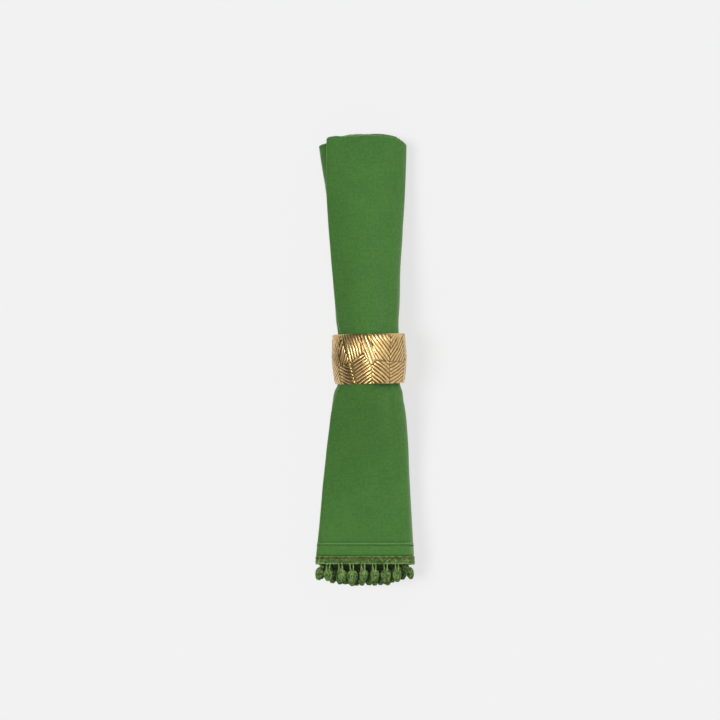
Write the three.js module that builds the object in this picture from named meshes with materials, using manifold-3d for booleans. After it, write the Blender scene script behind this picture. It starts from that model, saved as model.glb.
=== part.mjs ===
// A folded table napkin with pompom trim, held in a ridged brass ring.
// Millimetres, +Z up. The napkin lies on the table with its folded end towards +Y and its trimmed end
// towards -Y. The ring lies on its side around the napkin, with its axis along Y.
// The origin is on the table under the middle of the whole.

import * as THREE from 'three';
import { mergeVertices } from 'three/addons/utils/BufferGeometryUtils.js';
import Module from 'manifold-3d';

const wasm = await Module();
wasm.setup();

// The ring. Its radii are measured at the floor of the grooves.
const RING_LENGTH = 27.5;
const RING_MIDDLE_RADIUS = 20.3;
const RING_BULGE = 1.17; // how much its radius falls over half its length
const RING_WIDEST = 2; // how far its widest place lies from the middle of its length
const RING_BORE_RADIUS = 18.2;
const RING_BORE_SIDES = 48;
const RIDGE_HEIGHT = 0.55;
const RIDGE_PITCH = 1.75;
const RIDGE_HIP = 0.6; // how far a crest stops short of its facet's edge
const RIDGE_STEP = 6.5; // longest straight stretch of a ridge round the ring
const LOW_RIDGE_SLOPE = 0.35; // a short ridge rises by at most this share of its length
const POINTED_RIDGE = 1.8; // a ridge shorter than this rises to a single point
const CORNER_REACH = 0.5; // a groove that ends closer to a corner than this ends at the corner
const KNOT_REACH = 0.3; // grooves of two facets that end closer than this meet
const RING_CENTRE_HEIGHT = RING_MIDDLE_RADIUS + RIDGE_HEIGHT;

// The facets of one half of the ring, laid out flat: distance round the ring, then distance along it.
// The second half repeats the first.
const HALF_TURN = Math.PI * RING_MIDDLE_RADIUS;
const FULL_TURN = 2 * HALF_TURN;
const RIM = RING_LENGTH / 2;
const FACET_CORNERS = {
  topA: [-30.9, RIM],
  topB: [-18.4, RIM],
  topC: [-3.8, RIM],
  topD: [0.2, RIM],
  topE: [13.2, RIM],
  topF: [23.5, RIM],
  topG: [HALF_TURN - 30.9, RIM],
  farLeft: [-31.7, 2.5],
  left: [-19.6, -4],
  knee: [-11, -2],
  peak: [-3.4, 3],
  valley: [1.1, -3.6],
  neck: [3.9, -1],
  right: [11.5, -1.6],
  shoulder: [25.1, -2.2],
  farRight: [HALF_TURN - 31.7, 2.5],
  lowA: [-32.2, -RIM],
  lowB: [-19.2, -RIM],
  lowC: [-8.6, -RIM],
  lowD: [1.2, -RIM],
  lowE: [12.1, -RIM],
  lowF: [23.9, -RIM],
  lowG: [HALF_TURN - 32.2, -RIM],
};

// Each facet: its corners in order, and the slope of its ridges in degrees from the way round the ring.
const FACETS = [
  { corners: ['topA', 'topB', 'left', 'farLeft'], slope: -62 },
  { corners: ['topB', 'knee', 'left'], slope: 74 },
  { corners: ['topB', 'topC', 'peak', 'knee'], slope: -72 },
  { corners: ['topC', 'topD', 'neck', 'valley', 'peak'], slope: -70 },
  { corners: ['topD', 'topE', 'right', 'neck'], slope: -55 },
  { corners: ['topE', 'topF', 'shoulder', 'right'], slope: 47 },
  { corners: ['topF', 'topG', 'farRight', 'shoulder'], slope: -40 },
  { corners: ['farLeft', 'left', 'lowB', 'lowA'], slope: 33 },
  { corners: ['left', 'knee', 'lowC', 'lowB'], slope: -18 },
  { corners: ['knee', 'peak', 'valley', 'lowD', 'lowC'], slope: 31 },
  { corners: ['valley', 'neck', 'right', 'lowE', 'lowD'], slope: -38 },
  { corners: ['right', 'shoulder', 'lowF', 'lowE'], slope: 24 },
  { corners: ['shoulder', 'farRight', 'lowG', 'lowF'], slope: -57 },
];

// The folded cloth. The napkin is folded in half towards its trimmed edges, then in thirds and in thirds
// again, so the doubled cloth runs back and forth through nine levels. Level 0 lies on the table and level 8
// is the front. The first run goes to the right, so the turns are at the right and the left by turns.
const FOLD_ORDER = [7, 1, 4, 5, 0, 8, 6, 2, 3];
const TOP_LEVEL = 8;
const FRONT_FOLD_LOW = 6; // the front fold at the left joins levels 6 and 8
const RUN_PIECES = 4;
const FREE_END_SETBACK = 0.4; // of the rise between levels
const TURN_GAP = 0.45; // clear space between turns that lie in one another
const TURN_PIECES = 2;
const TURN_PIECES_PER_LEVEL = 0.8;
const LEAST_BOW = 0.75; // of the cloth's thickness: how far the tightest turn bows out
const MITRE_FLOOR = 0.5; // limits how far the corner of a sharp bend reaches
const CLOTH_THICK = 1.2; // two plies of cloth with a little air
const HEM_THICK = 2.0; // two plies, each turned over twice
const HEM_STEP = 0.4;

// Sections across the folded cloth, from the trimmed end to the folded end. y is measured from the middle of
// the ring. left, low and right are where the front fold, the lower folds and the round side reach.
// edge and mid are the rise from one level to the next, at the folds and halfway between them.
// level is the one that stays flat across, base is the height of the underside halfway between the folds,
// and roll is how far the round side at the right bows out.
const SECTION_NAMES = ['y', 'left', 'low', 'right', 'edge', 'mid', 'level', 'base', 'roll'];
const SECTIONS = [
  [-112, -29.6, -29.6, 25, 2.55, 2.6, 0, 0, 5],
  [-101.9, -28.65, -28.65, 24.3, 2.5, 2.58, 0, 0, 5],
  [-89, -27.35, -27.35, 23.5, 2.3, 2.5, 0.1, 0, 5],
  [-75, -26.2, -26.2, 22.9, 2.25, 2.6, 0.5, 0, 6],
  [-62, -24.85, -24.85, 22.2, 2.3, 2.85, 1.1, 0, 6.5],
  [-48.5, -23.4, -23.4, 21.75, 2.4, 3.25, 2.1, 0.1, 7],
  [-39.5, -22.2, -22.2, 21.1, 2.45, 3.6, 2.8, 0.4, 7],
  [-30.5, -21, -21.15, 20.1, 2.45, 3.9, 3.4, 1.1, 7],
  [-21.5, -18.9, -19.7, 18.7, 2.35, 4.15, 3.8, 2.1, 6.7],
  [-13.7, -15.95, -17.05, 16.95, 2.2, 4.28, 4, 3.13, 6.4],
  [13.7, -16.05, -17.25, 16.55, 2.2, 4.28, 4, 3.13, 6.4],
  [21, -17.6, -18.25, 16.3, 2.35, 4.2, 3.9, 2.4, 6.6],
  [30, -18.8, -18.95, 16.6, 2.45, 4.05, 3.7, 1.4, 6.9],
  [48, -20.5, -20.5, 17.2, 2.5, 3.8, 3, 0.4, 7.3],
  [66, -21.85, -21.85, 18.35, 2.4, 3.4, 2, 0, 7.6],
  [84, -23.15, -23.15, 19.35, 2.25, 2.9, 1, 0, 7.8],
  [97.5, -23.9, -24.5, 20.1, 2.05, 2.5, 0.3, 0, 7.8],
  [108, -23.8, -26.2, 20.4, 1.9, 2.2, 0, 0, 7.6],
  [126, -23.8, -28, 20.7, 1.8, 2.05, 0, 0, 7.2],
];

// Where the layers end. The front has the longest way through the ring, so it ends short of the layers
// under it.
const TOP_END = 126.4;
const FRONT_PULL = 1.8;
const FRONT_PULL_POWER = 4; // how soon that dies away in the layers under the front
const LEFT_DROP = 0.006; // for each square millimetre from the middle
const FRONT_LEFT_DROP = 0.0012; // the same on the front, whose corner is crisp
const FRONT_LEVELS = [6.5, 8]; // between these levels the drop turns into the front's
const RIGHT_DROP = 0.000025; // for the fourth power of the distance from the middle
const LOW_CORNER_DROP = 1.9; // of the lower folds at the left
const LOW_CORNER_LEVEL = 5.5;
const LOW_CORNER_FROM = 14;
const LOW_CORNER_TO = 23;
const TRIM_END = -108.8;
const TRIM_BACK_REACH = 1.4; // how much further the layers under the front reach
const TRIM_BACK_POWER = 3;

// The two lengths of trim. Their braids lie back to back along the hem's edge.
const PIECE_GAP = 0.3;
const BRAID_WIDTH = 4.5;
const BRAID_THICK = 0.8;
const POMPOM_PITCH = 6.3;
const POMPOM_HALF_WIDTH = 2.1;
const POMPOM_HALF_THICK = 1.7;
const POMPOM_LENGTH = 6.7;
const POMPOM_RISE = 2.65; // from one row to the next: the pompoms are thicker than the folded hem
const POMPOM_START = -3.45; // middle of one pompom in the front row, from the middle of the ring
const SIDE_SETBACKS = { outer: 0.6, inner: 4.5 }; // how far inside the folds the outermost pompoms hang
const STRING_HALF = 0.25;
const STRING_ROOT = 0.15; // how far a string reaches into the braid
const LONGEST_LEAN = 2.0; // how far a pompom hangs aside from its string's root
const STRING_LENGTHS = { outer: 3.0, inner: 5.6 }; // at the front

const WELD = 1e-4; // corners closer than this are one corner
const SAME_PLACE = 1e-5; // the same on the ring's flat layout

const CLOTH = new THREE.MeshStandardMaterial({ color: 0x4b753a, roughness: 0.95, metalness: 0 });
const TRIM = new THREE.MeshStandardMaterial({ color: 0x556c3a, roughness: 0.95, metalness: 0 });
const BRASS = new THREE.MeshStandardMaterial({ color: 0xc0a066, roughness: 0.32, metalness: 1 });

// Meshes from triangles

function geometryFrom(triangles) {
  const geometry = new THREE.BufferGeometry();
  const numbers = triangles.flatMap((corners) => corners.flatMap((point) => point.toArray()));
  geometry.setAttribute('position', new THREE.Float32BufferAttribute(numbers, 3));
  return mergeVertices(geometry, WELD);
}

function namedMesh(name, geometry, material) {
  const mesh = new THREE.Mesh(geometry, material);
  mesh.name = name;
  return mesh;
}

function signedVolume(triangles) {
  return triangles.reduce((sum, [a, b, c]) => sum + a.dot(new THREE.Vector3().crossVectors(b, c)) / 6, 0);
}

function facedOut(triangles) {
  return signedVolume(triangles) > 0 ? triangles : triangles.map(([a, b, c]) => [a, c, b]);
}

function quad(a, b, c, d) {
  return [[a, b, c], [a, c, d]];
}

// A thin sheet through a row of sections, each with its upper and lower points across.
function sheetTriangles(sections) {
  const triangles = [];
  const loops = sections.map(({ upper, lower }) => [...upper, ...lower.toReversed()]);
  for (let i = 0; i + 1 < loops.length; i += 1) {
    const count = loops[i].length;
    for (let k = 0; k < count; k += 1) {
      const next = (k + 1) % count;
      triangles.push(...quad(loops[i][k], loops[i][next], loops[i + 1][next], loops[i + 1][k]));
    }
  }
  const first = sections[0];
  const last = sections.at(-1);
  for (let k = 0; k + 1 < first.upper.length; k += 1) {
    triangles.push(...quad(first.upper[k + 1], first.upper[k], first.lower[k], first.lower[k + 1]));
    triangles.push(...quad(last.upper[k], last.upper[k + 1], last.lower[k + 1], last.lower[k]));
  }
  return facedOut(triangles);
}

// The folds

const sectionCurve = new THREE.CubicInterpolant(
  SECTIONS.map((row) => row[0]),
  SECTIONS.flat(),
  SECTION_NAMES.length,
);

function sectionAt(y) {
  const values = sectionCurve.evaluate(y);
  const section = Object.fromEntries(SECTION_NAMES.map((name, i) => [name, values[i]]));
  section.level = Math.max(0, section.level);
  section.base = Math.max(0, section.base);
  section.low = Math.min(section.left, section.low);
  return section;
}

// The turns of the fold order. Depth counts the turns that lie around a turn.
function listTurns() {
  const turns = FOLD_ORDER.slice(1).map((level, i) => ({
    low: Math.min(FOLD_ORDER[i], level),
    high: Math.max(FOLD_ORDER[i], level),
    up: level > FOLD_ORDER[i] ? 1 : -1,
    side: i % 2 === 0 ? 1 : -1,
  }));
  for (const turn of turns) {
    const holds = (other) => other.side === turn.side && other.low < turn.low && other.high > turn.high;
    turn.depth = turns.filter(holds).length;
    turn.pieces = TURN_PIECES + Math.ceil((turn.high - turn.low) * TURN_PIECES_PER_LEVEL);
  }
  return turns;
}

const TURNS = listTurns();

// A turn is half an ellipse. This gives its centre and half axes in one section.
function turnShape(turn, section, thick) {
  const rise = ((turn.high - turn.low) / 2) * section.edge;
  const squeeze = Math.min(1, section.roll / ((TOP_LEVEL / 2) * section.edge));
  const bow = Math.max(rise * squeeze, Math.min(rise, thick * LEAST_BOW));
  const nest = turn.depth * Math.max(thick + TURN_GAP, section.edge * squeeze);
  const leftReach = turn.low === FRONT_FOLD_LOW ? section.left : section.low;
  const reach = turn.side > 0 ? section.right : leftReach;
  return { bow, rise, x: reach - turn.side * (thick / 2 + nest + bow) };
}

// Height of a level at a share of its run, from -1 at one fold to 1 at the other.
function levelHeight(level, section, thick, share) {
  const swell = (section.mid - section.edge) * (1 - share * share);
  const flat = section.base + thick / 2 + section.level * section.mid;
  return flat + (level - section.level) * (section.edge + swell);
}

// Middle line of the doubled cloth across one section, from one free end to the other.
function foldLine(section, thick) {
  const shapes = TURNS.map((turn) => turnShape(turn, section, thick));
  const frontFold = shapes[TURNS.findIndex((turn) => turn.low === FRONT_FOLD_LOW)];
  const points = [];
  FOLD_ORDER.forEach((level, i) => {
    const turn = TURNS[i];
    const start = i > 0 ? shapes[i - 1].x : frontFold.x + FREE_END_SETBACK * section.edge;
    const end = turn ? shapes[i].x : shapes[i - 2].x;
    for (let k = 0; k <= RUN_PIECES; k += 1) {
      const share = (2 * k) / RUN_PIECES - 1;
      const x = THREE.MathUtils.lerp(start, end, k / RUN_PIECES);
      points.push({ x, z: levelHeight(level, section, thick, share), level });
    }
    for (let k = 1; turn && k < turn.pieces; k += 1) {
      const angle = (Math.PI * k) / turn.pieces;
      const middle = (turn.low + turn.high) / 2;
      const at = middle - (turn.up * Math.cos(angle) * (turn.high - turn.low)) / 2;
      points.push({
        x: shapes[i].x + turn.side * shapes[i].bow * Math.sin(angle),
        z: levelHeight(at, section, thick, 1),
        level: at,
      });
    }
  });
  return points;
}

// The line moved sideways by a distance, with its corners mitred. Positive is to the left of its way.
function offsetLine(line, distance) {
  return line.map((point, i) => {
    const before = line[Math.max(0, i - 1)];
    const after = line[Math.min(line.length - 1, i + 1)];
    const into = new THREE.Vector2(point.x - before.x, point.z - before.z).normalize();
    const out = new THREE.Vector2(after.x - point.x, after.z - point.z).normalize();
    const along = into.add(out);
    const isEnd = i === 0 || i === line.length - 1;
    const mitre = Math.max(MITRE_FLOOR, along.length() / (isEnd ? 1 : 2));
    along.normalize();
    const x = point.x - (along.y * distance) / mitre;
    const z = point.z + (along.x * distance) / mitre;
    return { x, z, level: point.level };
  });
}

function layerSection(line, thick, placeY) {
  const place = (point, i) => new THREE.Vector3(point.x, placeY(line[i]), point.z);
  return {
    upper: offsetLine(line, thick / 2).map(place),
    lower: offsetLine(line, -thick / 2).map(place),
  };
}

function foldedEnd({ x, level }) {
  const front = THREE.MathUtils.smoothstep(level, ...FRONT_LEVELS);
  const drop = x < 0
    ? THREE.MathUtils.lerp(LEFT_DROP, FRONT_LEFT_DROP, front) * x * x
    : RIGHT_DROP * x ** 4;
  const pull = FRONT_PULL * (level / TOP_LEVEL) ** FRONT_PULL_POWER;
  const cornerDrop = level < LOW_CORNER_LEVEL ? LOW_CORNER_DROP : 0;
  const corner = cornerDrop * THREE.MathUtils.smoothstep(-x, LOW_CORNER_FROM, LOW_CORNER_TO);
  return TOP_END - pull - drop - corner;
}

function trimmedEnd({ level }) {
  return TRIM_END - TRIM_BACK_REACH * (1 - (level / TOP_LEVEL) ** TRIM_BACK_POWER);
}

// The napkin

function buildNapkin() {
  const hemTop = SECTIONS[1][0];
  const slant = (y) => (point) => y + trimmedEnd(point) - TRIM_END;
  const straight = (y) => () => y;
  const hemLine = foldLine(sectionAt(TRIM_END), HEM_THICK);
  const hemTopLine = foldLine(sectionAt(hemTop), HEM_THICK);
  const layers = [
    layerSection(hemLine, HEM_THICK, trimmedEnd),
    layerSection(hemTopLine, HEM_THICK, slant(hemTop)),
    layerSection(hemTopLine, CLOTH_THICK, slant(hemTop + HEM_STEP)),
  ];
  for (const [y] of SECTIONS.slice(2, -1)) {
    layers.push(layerSection(foldLine(sectionAt(y), CLOTH_THICK), CLOTH_THICK, straight(y)));
  }
  layers.push(layerSection(foldLine(sectionAt(TOP_END), CLOTH_THICK), CLOTH_THICK, foldedEnd));
  return namedMesh('napkin', geometryFrom(sheetTriangles(layers)), CLOTH);
}

// The trim

function solidFrom(triangles) {
  const geometry = geometryFrom(triangles);
  return new wasm.Manifold(
    new wasm.Mesh({
      numProp: 3,
      vertProperties: geometry.getAttribute('position').array,
      triVerts: new Uint32Array(geometry.getIndex().array),
    }),
  );
}

function geometryOf(solid) {
  const { vertProperties, triVerts } = solid.getMesh();
  const geometry = new THREE.BufferGeometry();
  geometry.setAttribute('position', new THREE.BufferAttribute(vertProperties, 3));
  geometry.setIndex(new THREE.BufferAttribute(triVerts, 1));
  return geometry;
}

function nearestOnLine(line, x, z) {
  const target = new THREE.Vector3(x, 0, z);
  let best = null;
  for (let i = 0; i + 1 < line.length; i += 1) {
    const from = new THREE.Vector3(line[i].x, 0, line[i].z);
    const to = new THREE.Vector3(line[i + 1].x, 0, line[i + 1].z);
    const stretch = new THREE.Line3(from, to);
    const share = stretch.closestPointToPointParameter(target, true);
    const point = stretch.at(share, new THREE.Vector3());
    const away = point.distanceTo(target);
    if (!best || away < best.away) {
      const level = THREE.MathUtils.lerp(line[i].level, line[i + 1].level, share);
      best = { away, x: point.x, z: point.z, level };
    }
  }
  return best;
}

// How far the folds reach to the left and the right at a level.
function sideReach(level, section, thick) {
  const reachAt = (turn) => {
    const shape = turnShape(turn, section, thick);
    const half = (turn.high - turn.low) / 2;
    const share = (level - (turn.high + turn.low) / 2) / half;
    return shape.x + turn.side * shape.bow * Math.sqrt(Math.max(0, 1 - share * share));
  };
  const outer = (side) => TURNS.find(
    (turn) => turn.side === side && turn.depth === 0 && turn.low <= level && turn.high >= level,
  );
  return { left: reachAt(outer(-1)), right: reachAt(outer(1)) };
}

// A string with its pompom, four-sided from root to tip.
function pompomTriangles(root, neck) {
  const middle = neck.clone().setY(neck.y - POMPOM_LENGTH / 2);
  const tip = neck.clone().setY(neck.y - POMPOM_LENGTH);
  const belt = (centre, halfX, halfZ) => [
    new THREE.Vector3(centre.x + halfX, centre.y, centre.z),
    new THREE.Vector3(centre.x, centre.y, centre.z + halfZ),
    new THREE.Vector3(centre.x - halfX, centre.y, centre.z),
    new THREE.Vector3(centre.x, centre.y, centre.z - halfZ),
  ];
  const belts = [
    belt(root, STRING_HALF, STRING_HALF),
    belt(neck, STRING_HALF, STRING_HALF),
    belt(middle, POMPOM_HALF_WIDTH, POMPOM_HALF_THICK),
  ];
  const triangles = quad(...belts[0]);
  for (let k = 0; k < 4; k += 1) {
    const next = (k + 1) % 4;
    triangles.push(...quad(belts[0][next], belts[0][k], belts[1][k], belts[1][next]));
    triangles.push(...quad(belts[1][next], belts[1][k], belts[2][k], belts[2][next]));
    triangles.push([belts[2][next], belts[2][k], tip]);
  }
  return facedOut(triangles);
}

// One length of trim. The outer one is on the ply that shows at the front. Its top row of pompoms lies on
// the inner one's, and from row to row below they hang in line with that or half a pitch aside.
function buildTrim(name, ply) {
  const section = sectionAt(TRIM_END);
  const middleLine = foldLine(section, HEM_THICK);
  const aside = (PIECE_GAP + BRAID_THICK) / 2;
  const braidLine = offsetLine(middleLine, ply === 'outer' ? -aside : aside);
  const braidTop = (point) => trimmedEnd(point) - PIECE_GAP;
  const braidEnd = (point) => braidTop(point) - BRAID_WIDTH;
  const neckY = braidEnd({ level: TOP_LEVEL }) - STRING_LENGTHS[ply];
  let solid = solidFrom(
    sheetTriangles([
      layerSection(braidLine, BRAID_THICK, braidEnd),
      layerSection(braidLine, BRAID_THICK, braidTop),
    ]),
  );
  for (let level = 0; level <= TOP_LEVEL; level += 1) {
    const { left, right } = sideReach(level, section, HEM_THICK);
    const isFront = ply === 'outer' && level === TOP_LEVEL;
    const isAside = !isFront && (level % 2 === 0) === (ply === 'outer');
    const row = isFront ? TOP_LEVEL + 1 : level;
    const first = POMPOM_START + (isAside ? POMPOM_PITCH / 2 : 0);
    const from = Math.ceil((left + SIDE_SETBACKS[ply] - first) / POMPOM_PITCH);
    const to = Math.floor((right - SIDE_SETBACKS[ply] - first) / POMPOM_PITCH);
    for (let k = from; k <= to; k += 1) {
      const x = first + k * POMPOM_PITCH;
      const root = nearestOnLine(braidLine, x, levelHeight(level, section, HEM_THICK, 0));
      const neckZ = POMPOM_HALF_THICK + row * POMPOM_RISE;
      const neck = new THREE.Vector3(x, neckY, neckZ);
      if (root.away < LONGEST_LEAN) {
        const start = new THREE.Vector3(root.x, braidEnd(root) + STRING_ROOT, root.z);
        solid = solid.add(solidFrom(pompomTriangles(start, neck)));
      }
    }
  }
  return namedMesh(name, geometryOf(solid), TRIM);
}

// The ring

function roundPlace(s) {
  return ((s % FULL_TURN) + FULL_TURN) % FULL_TURN;
}

// A point of the ring from its place on the flat layout and its height over the grooves.
function ringPoint(s, y, lift) {
  const radius = RING_MIDDLE_RADIUS - RING_BULGE * ((y - RING_WIDEST) / RIM) ** 2 + lift;
  const angle = s / RING_MIDDLE_RADIUS;
  return new THREE.Vector3(radius * Math.sin(angle), y, RING_CENTRE_HEIGHT + radius * Math.cos(angle));
}

// Every corner and groove end on the flat layout, each kept once.
const knots = [];

function sameKnot(knot, s, y, reach) {
  const round = Math.abs(roundPlace(knot.s - s + HALF_TURN) - HALF_TURN);
  return Math.hypot(round, knot.y - y) < reach;
}

// Gives the kept point near a place. Its s is moved by whole turns to lie near the one asked for.
function knotNear(s, y, isCorner) {
  let knot = knots.find((other) => sameKnot(other, s, y, other.isCorner ? CORNER_REACH : KNOT_REACH));
  if (!knot) {
    knot = { s: roundPlace(s), y, isCorner };
    knots.push(knot);
  }
  const turns = Math.round((s - knot.s) / FULL_TURN);
  return new THREE.Vector2(knot.s + turns * FULL_TURN, knot.y);
}

// Both halves' facets, with their corners going the same way round.
function allFacets() {
  return [0, HALF_TURN].flatMap((shift) =>
    FACETS.map(({ corners, slope }) => ({
      corners: corners.map((name) => {
        const [s, y] = FACET_CORNERS[name];
        return knotNear(s + shift, y, true);
      }),
      along: new THREE.Vector2(Math.cos((slope * Math.PI) / 180), Math.sin((slope * Math.PI) / 180)),
    })),
  );
}

// Where a line across a facet, at a distance over the facet's own axis, meets its edges.
function crossEdges(corners, axis, across, distance) {
  const hits = [];
  corners.forEach((from, i) => {
    const to = corners[(i + 1) % corners.length];
    const a = across.dot(from) - distance;
    const b = across.dot(to) - distance;
    if (a < 0 !== b < 0) {
      hits.push(from.clone().lerp(to, a / (a - b)));
    }
  });
  return hits.sort((p, q) => axis.dot(p) - axis.dot(q));
}

// The grooves that part a facet's ridges. Their ends are kept as knots.
function cutGrooves(facet) {
  const across = new THREE.Vector2(-facet.along.y, facet.along.x);
  const reach = facet.corners.map((corner) => across.dot(corner));
  const low = Math.min(...reach);
  const count = Math.round((Math.max(...reach) - low) / RIDGE_PITCH);
  const width = (Math.max(...reach) - low) / count;
  facet.across = across;
  facet.grooves = [];
  for (let i = 1; i < count; i += 1) {
    const [start, end] = crossEdges(facet.corners, facet.along, across, low + i * width);
    const groove = { start: knotNear(start.x, start.y, false), end: knotNear(end.x, end.y, false) };
    if (groove.start.distanceTo(groove.end) > KNOT_REACH) {
      facet.grooves.push(groove);
    }
  }
  return facet;
}

// A facet's outline with every knot that lies on its edges.
function outlineWithKnots(corners) {
  return corners.flatMap((from, i) => {
    const to = corners[(i + 1) % corners.length];
    const length = from.distanceTo(to);
    const way = to.clone().sub(from).normalize();
    const between = [];
    for (const knot of knots) {
      const turns = Math.round(((from.x + to.x) / 2 - knot.s) / FULL_TURN);
      const point = new THREE.Vector2(knot.s + turns * FULL_TURN, knot.y);
      const share = way.dot(point.clone().sub(from));
      const off = Math.abs(way.cross(point.clone().sub(from)));
      if (off < SAME_PLACE && share > SAME_PLACE && share < length - SAME_PLACE) {
        between.push({ share, point });
      }
    }
    between.sort((p, q) => p.share - q.share);
    return [from, ...between.map(({ point }) => point)];
  });
}

function pointsBetween(start, end, lift) {
  const pieces = Math.max(1, Math.ceil(Math.abs(end.x - start.x) / RIDGE_STEP));
  return Array.from({ length: pieces + 1 }, (_, k) => {
    const place = start.clone().lerp(end, k / pieces);
    return { place, point: ringPoint(place.x, place.y, lift) };
  });
}

// Splits a facet's outline by its grooves into one outline for each ridge.
function ridgeOutlines(facet) {
  const outline = outlineWithKnots(facet.corners);
  const indexOf = (place) => outline.findIndex((point) => point.distanceTo(place) < SAME_PLACE);
  const count = outline.length;
  const stretch = (from, to, step) => {
    const list = [];
    for (let i = from; ; i = (i + step + count) % count) {
      list.push(outline[i]);
      if (i === to) {
        return list;
      }
    }
  };
  const reach = outline.map((point) => facet.across.dot(point));
  const lowest = reach.indexOf(Math.min(...reach));
  const highest = reach.indexOf(Math.max(...reach));
  const ways = [1, -1].map((step) => stretch(lowest, highest, step));
  const middles = ways.map(
    (way) => way.reduce((sum, point) => sum + facet.along.dot(point), 0) / way.length,
  );
  const startStep = middles[0] < middles[1] ? 1 : -1;
  const cuts = [
    { start: outline[lowest], end: outline[lowest] },
    ...facet.grooves,
    { start: outline[highest], end: outline[highest] },
  ];
  return cuts.slice(1).map((upper, i) => {
    const lower = cuts[i];
    return {
      lower,
      upper,
      startSide: stretch(indexOf(lower.start), indexOf(upper.start), startStep),
      endSide: stretch(indexOf(lower.end), indexOf(upper.end), -startStep),
    };
  });
}

// Where the middle of a ridge meets one side of its outline.
function middleOfSide(side, across, distance) {
  for (let i = 0; i + 1 < side.length; i += 1) {
    const a = across.dot(side[i]) - distance;
    const b = across.dot(side[i + 1]) - distance;
    if (a < 0 !== b < 0) {
      return side[i].clone().lerp(side[i + 1], a / (a - b));
    }
  }
  return side[Math.floor(side.length / 2)].clone();
}

// One ridge: a hipped roof over its outline.
function ridgeTriangles(facet, { lower, upper, startSide, endSide }) {
  const { along, across } = facet;
  const heights = [lower.start, lower.end, upper.start, upper.end].map((point) => across.dot(point));
  const distance = (heights[0] + heights[1] + heights[2] + heights[3]) / 4;
  const first = middleOfSide(startSide, across, distance);
  const last = middleOfSide(endSide, across, distance);
  const length = first.distanceTo(last);
  const inset = Math.min(RIDGE_HIP / length, 0.5);
  const lift = Math.min(RIDGE_HEIGHT, LOW_RIDGE_SLOPE * length);
  const crestStart = first.clone().lerp(last, inset);
  const crestEnd = last.clone().lerp(first, inset);
  const crest = length > POINTED_RIDGE
    ? pointsBetween(crestStart, crestEnd, lift)
    : pointsBetween(crestStart.lerp(crestEnd, 0.5), crestStart, lift).slice(0, 1);
  const side = (points, index) => points.map((place) => ({
    place,
    point: ringPoint(place.x, place.y, 0),
    index,
  }));
  const groove = (cut) => pointsBetween(cut.start, cut.end, 0).slice(1, -1).map((item) => {
    const gaps = crest.map(({ place }) => Math.abs(along.dot(place) - along.dot(item.place)));
    return { ...item, index: gaps.indexOf(Math.min(...gaps)) };
  });
  const loop = [
    ...groove(lower),
    ...side(endSide, crest.length - 1),
    ...groove(upper).reverse(),
    ...side(startSide, 0).reverse(),
  ].filter((item, i, list) => item.place.distanceTo(list[(i + 1) % list.length].place) > SAME_PLACE);
  const triangles = [];
  loop.forEach((from, i) => {
    const to = loop[(i + 1) % loop.length];
    triangles.push([from.point, to.point, crest[from.index].point]);
    const step = Math.sign(to.index - from.index);
    for (let k = from.index; k !== to.index; k += step) {
      triangles.push([to.point, crest[k + step].point, crest[k].point]);
    }
  });
  return triangles;
}

// Joins two rows of points round the ring, each sorted by angle.
function bandBetween(rowA, rowB) {
  const triangles = [];
  let a = 0;
  let b = 0;
  while (a < rowA.length || b < rowB.length) {
    const angleA = rowA[(a + 1) % rowA.length].angle + (a + 1 >= rowA.length ? 2 * Math.PI : 0);
    const angleB = rowB[(b + 1) % rowB.length].angle + (b + 1 >= rowB.length ? 2 * Math.PI : 0);
    const pointA = rowA[a % rowA.length].point;
    const pointB = rowB[b % rowB.length].point;
    if (b >= rowB.length || (a < rowA.length && angleA < angleB)) {
      triangles.push([pointA, rowA[(a + 1) % rowA.length].point, pointB]);
      a += 1;
    } else {
      triangles.push([pointA, rowB[(b + 1) % rowB.length].point, pointB]);
      b += 1;
    }
  }
  return triangles;
}

// Turns each triangle so that its face looks along the way that outward gives at its middle.
function turnedOut(triangles, outward) {
  return triangles.map(([a, b, c]) => {
    const face = new THREE.Triangle(a, b, c);
    const normal = face.getNormal(new THREE.Vector3());
    const middle = face.getMidpoint(new THREE.Vector3());
    return normal.dot(outward(middle)) > 0 ? [a, b, c] : [a, c, b];
  });
}

function buildRing() {
  const facets = allFacets().map(cutGrooves);
  const ridges = facets.flatMap((facet) =>
    ridgeOutlines(facet).flatMap((outline) => ridgeTriangles(facet, outline)),
  );
  const fromAxis = (point) => new THREE.Vector3(point.x, 0, point.z - RING_CENTRE_HEIGHT);
  const bore = (end) => Array.from({ length: RING_BORE_SIDES }, (_, i) => {
    const angle = (2 * Math.PI * i) / RING_BORE_SIDES;
    const x = RING_BORE_RADIUS * Math.sin(angle);
    const z = RING_CENTRE_HEIGHT + RING_BORE_RADIUS * Math.cos(angle);
    return { angle, point: new THREE.Vector3(x, end * RIM, z) };
  });
  const rimRow = (end) => knots
    .filter((knot) => Math.abs(knot.y - end * RIM) < SAME_PLACE)
    .map((knot) => ({ angle: knot.s / RING_MIDDLE_RADIUS, point: ringPoint(knot.s, knot.y, 0) }))
    .sort((p, q) => p.angle - q.angle);
  const rims = [1, -1].flatMap((end) =>
    turnedOut(bandBetween(rimRow(end), bore(end)), () => new THREE.Vector3(0, end, 0)),
  );
  const wall = turnedOut(bandBetween(bore(1), bore(-1)), (middle) => fromAxis(middle).negate());
  const triangles = [...turnedOut(ridges, fromAxis), ...rims, ...wall];
  return namedMesh('ring', geometryFrom(triangles), BRASS);
}

const group = new THREE.Group();
group.add(buildNapkin());
group.add(buildTrim('trim_outer', 'outer'));
group.add(buildTrim('trim_inner', 'inner'));
group.add(buildRing());

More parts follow.
